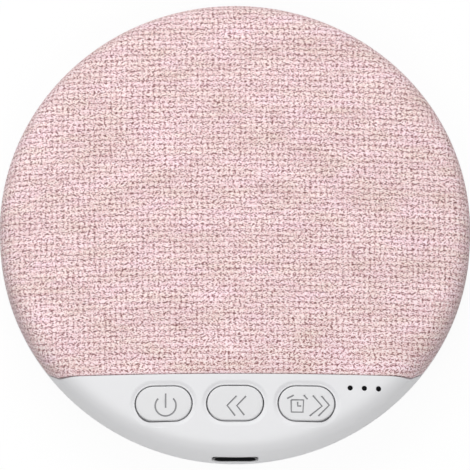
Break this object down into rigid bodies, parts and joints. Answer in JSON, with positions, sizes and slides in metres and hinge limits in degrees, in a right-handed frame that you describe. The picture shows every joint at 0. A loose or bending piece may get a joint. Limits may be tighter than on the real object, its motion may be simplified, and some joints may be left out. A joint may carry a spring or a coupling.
{
  "type": "pillow speaker",
  "caption": "Flat round bedside speaker with a fabric-covered front, a plastic control segment with pill-shaped push buttons and small indicator holes, and a charging port in the rim.",
  "frame": {"origin": "centre of the flat back, on its plane", "axes": "+Z out of the crowned front, -Y towards the control segment and the charging port, +X to the right when seen from the front with the controls below"},
  "size_m": [0.095, 0.095, 0.0165],
  "materials": {
    "housing_plastic": "fine satin moulding",
    "button_plastic": "fine satin moulding",
    "woven_fabric": "melange woven cloth",
    "dark_plastic": "matt",
    "plunger_plastic": "matt",
    "smoked_plastic": "glossy",
    "diode_plastic": "glossy",
    "board_laminate": "satin lacquer",
    "chip_plastic": "matt",
    "steel": "satin",
    "contact_metal": "bright",
    "cell_foil": "satin foil",
    "foam": "matt foam",
    "connector_plastic": "matt",
    "red_insulation": "satin",
    "black_insulation": "satin",
    "magnet": "satin",
    "surround_rubber": "matt",
    "cone_plastic": "matt",
    "coil_wire": "bright"
  },
  "bodies": {
    "case": {"rear_shell": "housing_plastic", "front_housing": "housing_plastic", "grille_panel": "dark_plastic", "fabric_cover": "woven_fabric", "switch_bodies": "dark_plastic", "indicator_lens": "smoked_plastic", "indicator_leds": "diode_plastic", "main_board": "board_laminate", "audio_chip": "chip_plastic", "radio_module": "steel", "usb_shell": "steel", "usb_tongue": "chip_plastic", "usb_contacts": "contact_metal", "battery_cell": "cell_foil", "battery_pad": "foam", "battery_socket": "connector_plastic", "battery_plug": "connector_plastic", "battery_lead_red": "red_insulation", "battery_lead_black": "black_insulation", "speaker_frame": "dark_plastic", "speaker_yoke": "steel", "speaker_magnet": "magnet", "speaker_top_plate": "steel", "speaker_terminals": "connector_plastic", "speaker_gasket": "foam", "speaker_pad": "foam", "surround": "surround_rubber", "speaker_socket": "connector_plastic", "speaker_plug": "connector_plastic", "speaker_lead_red": "red_insulation", "speaker_lead_black": "black_insulation", "case_screws": "steel", "board_screws": "steel", "screw_plugs": "housing_plastic"},
    "power": {"power_button": "button_plastic", "power_plunger": "plunger_plastic"},
    "back": {"back_button": "button_plastic", "back_plunger": "plunger_plastic"},
    "timer": {"timer_button": "button_plastic", "timer_plunger": "plunger_plastic"},
    "cone": {"diaphragm": "cone_plastic", "voice_coil": "coil_wire"}
  },
  "joints": [
    {"name": "power_press", "type": "slide", "parent": "case", "child": "power", "axis": [0, 0, -1], "range_m": [0, 0.0003], "stiffness_N_per_m": 4000},
    {"name": "back_press", "type": "slide", "parent": "case", "child": "back", "axis": [0, 0, -1], "range_m": [0, 0.0003], "stiffness_N_per_m": 4000},
    {"name": "timer_press", "type": "slide", "parent": "case", "child": "timer", "axis": [0, 0, -1], "range_m": [0, 0.0003], "stiffness_N_per_m": 4000},
    {"name": "cone_travel", "type": "slide", "parent": "case", "child": "cone", "axis": [0, 0, 1], "range_m": [-0.0005, 0.0005], "stiffness_N_per_m": 2000, "deforming": ["surround"]}
  ]
}
